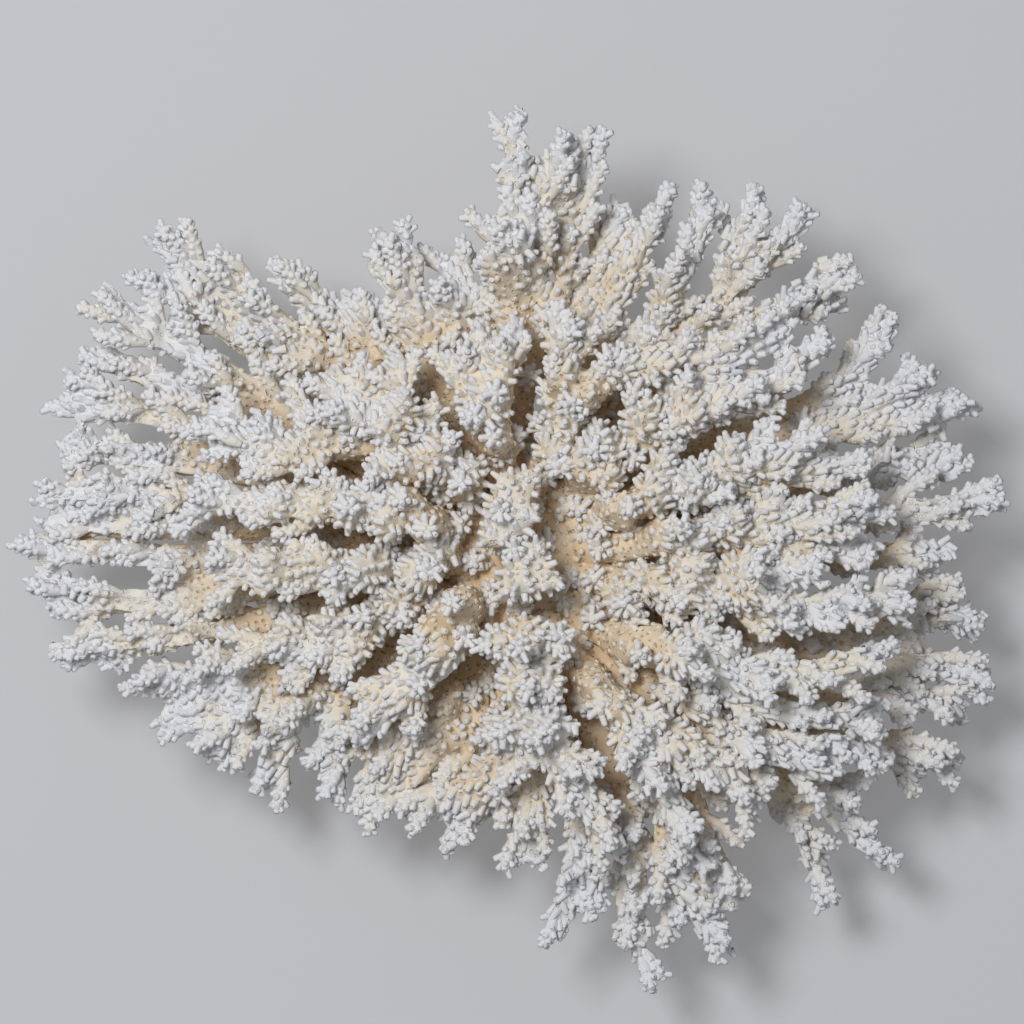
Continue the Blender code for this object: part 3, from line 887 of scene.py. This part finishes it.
@dataclass
class Branchlet:
    """A short side finger: a tapered shaft with corallites all round it and one at its end."""

    sides: int = 8
    rings: int = 4
    foot_radius: float = 2.7 * MM
    end_radius: float = 1.6 * MM
    tube_length: float = 3.1 * MM
    tube_radius: float = 1.1 * MM
    rows_per_mm: float = 1.3
    tube_flare: float = 1.15
    fewest_tubes: int = 11
    golden: float = math.radians(137.5)
    foot_taper: float = 0.4
    youth_at_end: float = 0.6
    lean: float = 44.0
    upright_lean: float = 16.0
    lean_spread: float = 8.0
    covered: float = 0.85
    end_tube_radius: float = 1.15 * MM
    end_tube_flare: float = 1.1
    end_tube_reach: float = 1.3 * MM
    upright: Ramp = Ramp(0.4, 0.9)

    def shaft(self, foot: np.ndarray, axis: np.ndarray, length: float, age: float) -> Patch:
        """The shaft's mesh.

        Args:
            foot: Where it stands.
            axis: Which way it points.
            length: How long it is.
            age: How old the skin at its foot is, with painted shade added.

        Returns:
            The patch.
        """
        side, across = frame_of(axis)
        turn = np.arange(self.sides) * 2 * math.pi / self.sides
        share = np.linspace(0, 1, self.rings)
        radius = self.foot_radius + (self.end_radius - self.foot_radius) * share
        radius[0] *= self.foot_taper
        circle = np.cos(turn)[:, None] * side + np.sin(turn)[:, None] * across
        points = (foot + axis * (share * length)[:, None, None] + circle[None] * radius[:, None, None])
        here = np.arange(self.sides)
        after = np.roll(here, -1)
        quads = [np.stack([r * self.sides + here, r * self.sides + after,
                           (r + 1) * self.sides + after, (r + 1) * self.sides + here], axis=1)
                 for r in range(self.rings - 1)]
        cap = ((self.rings - 1) * self.sides + here)[None]
        ages_and_shade = np.repeat(age * (1 - self.youth_at_end * share), self.sides)
        bare = np.repeat(0.6 * (1 - share), self.sides)
        return Patch(points.reshape(-1, 3), [np.concatenate(quads), cap], ages_and_shade, bare, np.zeros(len(ages_and_shade)))

    def dress(self, colony: Colony, foot: np.ndarray, axis: np.ndarray, length: float, age: float,
              chance: np.random.Generator) -> None:
        """Stands corallites round the shaft and one at its end.

        Args:
            colony: Where they are added.
            foot: Where the shaft stands.
            axis: Which way it points.
            length: How long it is.
            age: How old the skin at its foot is, with painted shade added.
            chance: The source of what varies.
        """
        side, across = frame_of(axis)
        count = max(self.fewest_tubes, int(length / MM * self.rows_per_mm))
        share = 1 - self.covered * ((np.arange(count) + 0.5) / count)
        turn = np.arange(count) * self.golden + chance.uniform(0, 6.28)
        out = np.cos(turn)[:, None] * side + np.sin(turn)[:, None] * across
        radius = self.foot_radius + (self.end_radius - self.foot_radius) * share
        upright = float(self.upright(axis[2]))
        tilt = self.lean + self.upright_lean * upright
        lean = np.radians(tilt + chance.normal(0, self.lean_spread, count))[:, None]
        way = out * np.sin(lean) + axis * np.cos(lean)
        place = foot + axis * (share * length * 0.92)[:, None] + out * (radius * 0.3)[:, None]
        size = chance.uniform(0.75, 1.2, count) * (1.15 - 0.4 * np.clip(out[:, 2], 0.0, 1.0))
        colony.add(place, way, self.tube_length * (1 + 0.25 * upright) * size,
                   self.tube_radius * chance.uniform(0.85, 1.1, count),
                   age * (1 - self.youth_at_end * share), self.tube_flare)
        colony.add((foot + axis * length * 0.6)[None], axis[None],
                   0.4 * length + self.end_tube_reach, self.end_tube_radius, 0.4 * age,
                   self.end_tube_flare)


def frame_of(axis: np.ndarray) -> tuple[np.ndarray, np.ndarray]:
    """Two directions square to an axis and to each other.

    Args:
        axis: The axis, of length 1.

    Returns:
        The two directions, which with the axis make a right-handed set.
    """
    level = abs(axis[2]) < NEAR_UPRIGHT
    helper = np.array([0.0, 0.0, 1.0]) if level else np.array([1.0, 0.0, 0.0])
    side = unit(np.cross(helper, axis))
    return side, np.cross(axis, side)


# ---------------------------------------------------------------------------
# Limbs and stalk
# ---------------------------------------------------------------------------


@dataclass
class Limb:
    """One limb of the colony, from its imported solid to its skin, branchlets and corallites."""

    node: str
    slot: Part = Part.LIMB
    # The skin
    voxel: float = 1.25 * MM
    draw_in: float = 1.2 * MM
    rim_draw_in: float = 1.7 * MM
    least_draw_in: float = 0.4 * MM
    thin_share: float = 0.40
    rim_share: float = 0.2
    point_share: float = 0.12
    rim_point_share: float = 0.14
    old_swell: float = 1.5 * MM
    groove: float = 5.0
    groove_depth: float = 2.0 * MM
    lump_depth: float = 1.5 * MM
    fold_rounds: int = 5
    fold_ease: float = 0.4
    floor_band: float = 0.5 * MM
    lowest_skin: float = 0.1 * MM
    at_point: Ramp = Ramp(15 * MM, 2 * MM)
    rim_skin: Ramp = Ramp(75 * MM, 120 * MM)
    heart_skin: Ramp = Ramp(135 * MM, 75 * MM)
    off_floor: Ramp = Ramp(0.2 * MM, 2.0 * MM)
    # The corallites
    pitch_near_tip: float = 2.9 * MM
    pitch_far: float = 3.35 * MM
    tip_spread: float = 4.5 * MM
    try_pitch: float = 1.05 * MM
    foot_gap: float = 2.4 * MM
    lowest_tube: float = 3 * MM
    end_length: float = 3.4 * MM
    end_radius: float = 1.05 * MM
    end_root: float = 1.6 * MM
    dense: Ramp = Ramp(0.2, 0.6)
    standing: Ramp = Ramp(0.12, 0.4)
    standing_share: float = 0.15
    tilt: float = 14.0
    standing_tilt: float = 8.0
    fresh_tilt: float = 22.0
    rim_tilt: float = 12.0
    upright_tilt: float = 24.0
    tilt_spread: float = 7.0
    axis_spread: float = 0.08
    growing_up: Ramp = Ramp(0.35, 0.9)
    fresh_run: Ramp = Ramp(34 * MM, 6 * MM)
    long_run: Ramp = Ramp(0.0, 11 * MM)
    wide_run: Ramp = Ramp(0.0, 12 * MM)
    rim_tubes: Ramp = Ramp(60 * MM, 95 * MM)
    # The branchlets
    top_pitch: float = 13.0 * MM
    side_pitch: float = 20.0 * MM
    top_length: tuple[float, float] = (3.5 * MM, 8.5 * MM)
    side_length: tuple[float, float] = (6.0 * MM, 11.0 * MM)
    ceiling: float = 93 * MM
    least_light: float = 0.5
    least_side_light: float = 0.3
    least_half: float = 2.2 * MM
    lowest_branchlet: float = 8 * MM
    top_run: float = 9 * MM
    side_run: float = 8 * MM
    side_distance: float = 25 * MM
    steep: float = 0.45
    shaft_root: float = 2.5 * MM
    rim_branchlets: Ramp = Ramp(30 * MM, 90 * MM)
    # How the growth changes over the colony
    patch_size: float = 11 * MM
    age_patch_size: float = 16 * MM
    ageing_run: Ramp = Ramp(3 * MM, 24 * MM)
    ageing_heart: Ramp = Ramp(150 * MM, 45 * MM)
    young_run: Ramp = Ramp(30 * MM, 8 * MM)
    outward: Ramp = Ramp(20 * MM, 95 * MM)
    facing_up: Ramp = Ramp(-0.35, 0.5)
    ridge_up: Ramp = Ramp(0.50, 0.88)
    ridge_lit: Ramp = Ramp(0.45, 0.85)
    calm_up: Ramp = Ramp(0.2, 0.7)
    calm_middle: float = -8 * MM
    calm_band: Ramp = Ramp(62 * MM, 35 * MM)
    calm_west: Ramp = Ramp(-35 * MM, -65 * MM)

    def solid_copy(self) -> bpy.types.Object:
        """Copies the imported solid, with its loose triangles merged.

        Returns:
            The copy, as a new object at the origin.
        """
        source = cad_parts[self.node]
        shape = bmesh.new()
        shape.from_mesh(source.data)
        bmesh.ops.transform(shape, matrix=source.matrix_world, verts=shape.verts)
        bmesh.ops.remove_doubles(shape, verts=shape.verts, dist=1e-6)
        mesh = bpy.data.meshes.new(self.node + "_skin")
        shape.to_mesh(mesh)
        shape.free()
        obj = bpy.data.objects.new(self.node + "_skin", mesh)
        bpy.context.scene.collection.objects.link(obj)
        return obj

    def skin(self, lumps: bpy.types.Texture, canopy: BVHTree) -> Skin:
        """The limb's surface, drawn in from the solid by most of the tubes' reach.

        Args:
            lumps: The unevenness of the skin.
            canopy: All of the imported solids.

        Returns:
            The skin, with its thickness and its tips found.
        """
        obj = self.solid_copy()
        apply_modifier(obj, "REMESH", mode="VOXEL", voxel_size=self.voxel)
        keep_largest_island(obj)
        apply_modifier(obj, "LAPLACIANSMOOTH", lambda_factor=1.2, iterations=6,
                       use_volume_preserve=True)
        skin = Skin.of(obj)
        skin.measure()
        skin.look_up(canopy)
        skin.find_tips(self.tip_spread)
        out = off_axis(skin.points)
        rim = self.rim_skin(out)
        deepest = self.draw_in + self.rim_draw_in * rim
        inward = np.clip((self.thin_share + self.rim_share * rim) * skin.half, self.least_draw_in,
                         deepest)
        inward += (self.at_point(skin.tip_run)
                   * (self.point_share + self.rim_point_share * rim) * skin.half)
        inward -= self.old_swell * self.heart_skin(out)
        hollow = ((skin.averaged(skin.points, 5) - skin.points) * skin.normals).sum(axis=1)
        inward += np.clip(self.groove * hollow, 0.0, self.groove_depth)
        inward *= self.off_floor(skin.points[:, 2])
        for _ in range(self.fold_rounds):
            tight = skin.folded(skin.points - skin.normals * inward[:, None])
            inward = skin.averaged(np.where(tight, self.fold_ease * inward, inward), 1)
        moved = skin.points - skin.normals * inward[:, None]
        obj.data.vertices.foreach_set("co", moved.ravel())
        obj.data.update()
        apply_modifier(obj, "DISPLACE", texture=lumps, texture_coords="LOCAL",
                       strength=self.lump_depth, mid_level=0.5)
        apply_modifier(obj, "SMOOTH", factor=0.5, iterations=2)
        drawn = Skin.of(obj)
        bpy.data.objects.remove(obj)
        on_floor = skin.points[:, 2] < self.floor_band
        above = np.maximum(drawn.points[:, 2], self.lowest_skin)
        drawn.points[:, 2] = np.where(on_floor, 0.0, above)
        skin.points, skin.normals = drawn.points, drawn.normals
        return skin

    def age_and_shade_of(self, places: np.ndarray, run: np.ndarray, lit: np.ndarray | float) -> np.ndarray:
        """How old the skin is, from 0 at the growing edge to 1 at the heart of the colony, plus painted
        shade where the other limbs keep the light from above off it.

        Args:
            places: Where the skin is.
            run: How far behind a tip it is.
            lit: How much light reaches it.

        Returns:
            The ages, with painted shade added.
        """
        grown = 0.40 * self.ageing_run(run) + 0.45 * self.ageing_heart(off_axis(places))
        patch = np.array([noise.noise(place) for place in (places / self.age_patch_size).tolist()])
        # Painted shade: the 0.45 * (1 - lit) term makes skin that the other limbs keep from the light
        # above older, so it comes out tan and rusty.
        return np.clip(grown + 0.45 * (1 - lit) - 0.12 + 0.3 * patch, 0.0, 1.0)

    def calm(self, places: np.ndarray) -> np.ndarray:
        """How plate-like and low the growth is, from 0 to 1 on the west side of the colony.

        Args:
            places: Where the skin is.

        Returns:
            The calmness at each place.
        """
        middle = self.calm_band(np.abs(places[:, 1] - self.calm_middle))
        return middle * self.calm_west(places[:, 0])

    def vigour(self, places: np.ndarray, normals: np.ndarray, run: np.ndarray, lit: np.ndarray
               ) -> np.ndarray:
        """How far corallites stand out of the skin, from 0 for sunken ones to 1.

        Args:
            places: Where the skin is.
            normals: Which way it faces.
            run: How far behind a tip it is.
            lit: How much light reaches it.

        Returns:
            The vigour at each place.
        """
        young = self.young_run(run)
        up = self.facing_up(normals[:, 2])
        ridge = self.ridge_up(normals[:, 2]) * self.ridge_lit(lit)
        patch = np.array([noise.noise(Vector(place) / self.patch_size)
                          for place in places.tolist()])
        crest = ridge * np.clip(0.38 + 0.33 * self.outward(off_axis(places)) + 1.1 * patch, 0.0, 1.0)
        calm = self.calm(places)
        plate = self.calm_up(normals[:, 2])
        crest = (1 - calm) * crest + calm * plate * (0.25 + 0.35 * patch)
        return np.clip(np.maximum(young * (0.55 + 0.45 * up) * (0.5 + 0.5 * lit), crest), 0.0, 1.0)

    def scatter(self, skin: Skin, colony: Colony, low: Colony, feet: np.ndarray,
                chance: np.random.Generator) -> None:
        """Stands corallites on the skin, closer together near the fingertips.

        Args:
            skin: The limb's surface.
            colony: Where the standing ones are added.
            low: Where the sunken ones are added.
            feet: Where branchlets stand, which corallites keep clear of.
            chance: The source of what varies.
        """
        corner = skin.points[skin.faces]
        cross = np.cross(corner[:, 2] - corner[:, 0], corner[:, 3] - corner[:, 1])
        area = 0.5 * np.linalg.norm(cross, axis=1)
        tries = int(area.sum() / self.try_pitch ** 2)
        pick = skin.faces[chance.choice(len(area), tries, p=area / area.sum())]
        u, v = chance.uniform(size=(2, tries))
        weight = np.stack([(1 - u) * (1 - v), u * (1 - v), u * v, (1 - u) * v], axis=1)
        place = (skin.points[pick] * weight[:, :, None]).sum(axis=1)
        normal = unit((skin.normals[pick] * weight[:, :, None]).sum(axis=1))
        tipward = unit((skin.tipward[pick] * weight[:, :, None]).sum(axis=1))
        run = (skin.tip_run[pick] * weight).sum(axis=1)
        lit = (skin.lit[pick] * weight).sum(axis=1)
        vigour = self.vigour(place, normal, run, lit)
        pitch = self.pitch_far + (self.pitch_near_tip - self.pitch_far) * self.dense(vigour)
        keep = (normal[:, 2] > -0.2) | (chance.uniform(size=tries) < 0.15 + 0.85 * vigour)
        if len(feet):
            gap = np.full(tries, np.inf)
            for foot in feet:
                gap = np.minimum(gap, np.linalg.norm(place - foot, axis=1))
            keep &= gap > self.foot_gap
        keep &= place[:, 2] > self.lowest_tube
        chosen = spaced(place, pitch, np.flatnonzero(keep).tolist())
        place, normal, tipward = place[chosen], normal[chosen], tipward[chosen]
        run, vigour, lit = run[chosen], vigour[chosen], lit[chosen]
        count = len(chosen)
        stands = self.standing(vigour)
        along = unit(tipward - normal * (tipward * normal).sum(axis=1, keepdims=True))
        upright = self.growing_up(tipward[:, 2])
        fresh = self.fresh_run(run)
        calm = self.calm(place)
        rim = self.rim_tubes(off_axis(place))
        more = (self.standing_tilt + self.fresh_tilt * fresh + self.rim_tilt * rim
                - self.upright_tilt * upright)
        tilt = (self.tilt + more * stands) * (1 - 0.5 * calm)
        lean = np.radians(tilt + chance.normal(0, self.tilt_spread, count))[:, None]
        axis = unit(normal * np.cos(lean) + along * np.sin(lean)
                    + chance.normal(0, self.axis_spread, (count, 3)))
        length = (0.45 + (0.9 + 2.4 * vigour) * stands) * chance.uniform(0.78, 1.2, count) * MM
        length *= (0.45 + 0.55 * self.long_run(run)) * (1 - 0.3 * calm)
        length *= 1 + fresh * (0.2 - 0.45 * np.clip(normal[:, 2], 0.0, 1.0) * (1 - upright))
        radius = (0.76 + 0.28 * stands) * chance.uniform(0.88, 1.12, count) * MM
        radius *= 0.76 + 0.24 * self.wide_run(run)
        ages_and_shade = self.age_and_shade_of(place, run, lit)
        rooted = 0.3 * MM + 1.4 * radius * np.clip(np.sin(lean[:, 0]), 0.1, 1.0)
        tall = stands > self.standing_share
        for form, which in ((colony, tall), (low, ~tall)):
            form.add(place[which] - axis[which] * rooted[which, None], axis[which],
                     (length + rooted)[which], radius[which], ages_and_shade[which])
        tips = skin.points[skin.tips]
        way = unit(skin.tipward[skin.tips] + 0.8 * skin.normals[skin.tips])
        colony.add(tips - way * self.end_root, way, self.end_length, self.end_radius, 0.05)

    def branchlets(self, skin: Skin, colony: Colony, chance: np.random.Generator
                   ) -> tuple[list[Patch], np.ndarray]:
        """Grows upright branchlets on the crest of the limb and longer ones along its sides.

        Args:
            skin: The limb's surface.
            colony: Where their corallites are added.
            chance: The source of what varies.

        Returns:
            The shafts, and where they stand.
        """
        up, low = skin.normals[:, 2], skin.points[:, 2] < self.ceiling
        out = off_axis(skin.points)
        rim = self.rim_branchlets(out)
        calm = self.calm(skin.points)
        body = low & (skin.half > self.least_half) & (skin.points[:, 2] > self.lowest_branchlet)
        crest = body & (up > self.steep)
        crest &= (skin.tip_run > self.top_run) & (skin.lit > self.least_light)
        flank = body & (np.abs(up) < self.steep) & (out > self.side_distance)
        flank &= (skin.tip_run > self.side_run) & (skin.lit > self.least_side_light)
        rank = -up + chance.uniform(0, 0.6, len(up))
        order = [i for i in np.argsort(rank).tolist() if crest[i]]
        tops = spaced(skin.points, self.top_pitch * (1 + 0.25 * rim + 0.4 * calm), order)
        sides = spaced(skin.points, self.side_pitch * (1 - 0.35 * rim),
                       chance.permutation(np.flatnonzero(flank)).tolist())
        grown = [*tops.tolist(), *sides.tolist()]
        ages_and_shade = self.age_and_shade_of(skin.points[grown], skin.tip_run[grown], skin.lit[grown])
        maker, shafts = Branchlet(), []
        for i, age in zip(grown, ages_and_shade.tolist()):
            on_side = abs(up[i]) < self.steep
            across, ahead, lift = 0.75 - 0.35 * rim[i], 0.75 + 0.4 * rim[i], 0.2 - 0.05 * rim[i]
            if on_side:
                across, ahead, lift = 0.36, 1.0, 0.12
            away = unit(skin.points[i] * np.array([1.0, 1.0, 0.0]))
            forward = unit(skin.tipward[i] + rim[i] * away)
            axis = unit(across * skin.normals[i] + ahead * forward
                        + chance.normal(0, 0.16 - 0.08 * rim[i], 3) + np.array([0, 0, lift]))
            room = (self.ceiling + 4 * MM - skin.points[i, 2]) / max(axis[2], 0.2)
            length = min(chance.uniform(*(self.side_length if on_side else self.top_length)), room)
            length = min(length * (1 + (0.6 if on_side else 1.0) * rim[i]), float(skin.tip_run[i]) * 0.9)
            foot = skin.points[i] - axis * self.shaft_root - skin.normals[i] * 0.6 * MM
            shafts.append(maker.shaft(foot, axis, length + self.shaft_root, age))
            maker.dress(colony, foot + axis * 2.0 * MM, axis, length + 0.5 * MM, age, chance)
        return shafts, skin.points[grown]

    def build(self, forms: Forms, finish: bpy.types.Material, lumps: bpy.types.Texture,
              canopy: BVHTree) -> bpy.types.Object:
        """Builds the limb's visible piece.

        Args:
            forms: The modelled corallites.
            finish: The skeleton's material.
            lumps: The unevenness of the skin.
            canopy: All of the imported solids.

        Returns:
            The finished piece.
        """
        chance = np.random.default_rng(sum(map(ord, self.node)))
        skin = self.skin(lumps, canopy)
        colony, low = Colony(), Colony()
        shafts, feet = self.branchlets(skin, colony, chance)
        self.scatter(skin, colony, low, feet, chance)
        count = len(skin.points)
        ages_and_shade = self.age_and_shade_of(skin.points, skin.tip_run, skin.lit)
        body = Patch(skin.points, [skin.faces], ages_and_shade, np.ones(count), np.zeros(count))
        piece = join(self.node + "_coral", [body, *shafts, colony.build(forms.tube, chance),
                                            low.build(forms.ring, chance)])
        piece.data.materials.append(finish)
        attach(piece, ROOT_BODY)
        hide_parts(self.node)
        LOG.info("%s: %d tips, %d branchlets, %d corallites, %d rings, %d faces", self.node,
                 len(skin.tips), len(shafts), len(colony.foot), len(low.foot), len(piece.data.polygons))
        return piece


@dataclass
class Stalk(Limb):
    """The stalk and the spread top that carries the limbs, more lumped and closer grown."""

    slot: Part = Part.STALK
    lump_depth: float = 3.0 * MM
    least_light: float = 0.2
    top_pitch: float = 9.0 * MM
    top_length: tuple[float, float] = (4.0 * MM, 9.0 * MM)


# ---------------------------------------------------------------------------
# The studio
# ---------------------------------------------------------------------------


@dataclass
class Studio:
    """A pale floor, soft light from the upper left, and a camera straight above."""

    aim: tuple = (-0.7 * MM, 12.7 * MM, 75 * MM)
    camera_height: float = 2.4
    field_width: float = 341.3 * MM
    lit_spot: tuple = (-38 * MM, 12 * MM, 75 * MM)
    floor_size: float = 6.0
    key_place: tuple = (-0.50, 0.40, 1.65)
    key_power: float = 8.0
    key_size: float = 0.46
    key_spread: float = 120.0
    world_strength: float = 0.24
    backdrop_strength: float = 0.32

    def build(self) -> None:
        """Makes the floor, the lamp, the world and the camera."""
        deselect_all()
        bpy.ops.mesh.primitive_plane_add(size=self.floor_size, location=(0, 0, -0.1 * MM))
        floor = bpy.context.object
        floor.name = "floor"
        floor.data.materials.append(FloorFinish().make())
        self._lamp()
        world = bpy.data.worlds.new("studio")
        world.use_nodes = True
        tree = world.node_tree
        tree.nodes["Background"].inputs["Color"].default_value = (1, 1, 1, 1)
        strength = tree.nodes.new("ShaderNodeMapRange")
        strength.inputs["To Min"].default_value = self.world_strength
        strength.inputs["To Max"].default_value = self.backdrop_strength
        tree.links.new(seen_directly(tree), strength.inputs["Value"])
        tree.links.new(strength.outputs[0], tree.nodes["Background"].inputs["Strength"])
        scene = bpy.context.scene
        scene.world = world
        scene.view_settings.view_transform = "Standard"
        camera = bpy.data.cameras.new("camera")
        camera.sensor_width = 36.0
        camera.lens = 36.0 * self.camera_height / self.field_width
        camera.clip_end = 20.0
        obj = bpy.data.objects.new("camera", camera)
        obj.location = Vector(self.aim) + Vector((0, 0, self.camera_height))
        scene.collection.objects.link(obj)
        scene.camera = obj

    def _lamp(self) -> None:
        """Adds the square key lamp, which faces the coral."""
        data = bpy.data.lights.new("key", "AREA")
        data.size = self.key_size
        data.energy = self.key_power
        data.spread = math.radians(self.key_spread)
        lamp = bpy.data.objects.new("key", data)
        lamp.location = self.key_place
        facing = Vector(self.lit_spot) - Vector(self.key_place)
        lamp.rotation_euler = facing.to_track_quat("-Z", "Y").to_euler()
        bpy.context.scene.collection.objects.link(lamp)


def solids_tree() -> BVHTree:
    """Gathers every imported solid's faces.

    Returns:
        A search tree of them.
    """
    points: list[Vector] = []
    faces: list[list[int]] = []
    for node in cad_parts.values():
        base = len(points)
        points += [node.matrix_world @ vert.co for vert in node.data.vertices]
        faces += [[base + i for i in face.vertices] for face in node.data.polygons]
    return BVHTree.FromPolygons(points, faces)


def main() -> None:
    """Builds the colony and the studio, and reports each piece."""
    logging.basicConfig(level=logging.INFO, format="%(message)s")
    Studio().build()
    finish = SkeletonFinish().make()
    forms = Forms()
    forms.build()
    lumps = bpy.data.textures.new("lumps", "CLOUDS")
    lumps.noise_scale = 7 * MM
    lumps.noise_depth = 1
    canopy = solids_tree()
    for node in sorted(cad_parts):
        limb = Stalk(node) if node == "stalk" else Limb(node)
        limb.build(forms, finish, lumps, canopy)


if __name__ == "__main__":
    main()
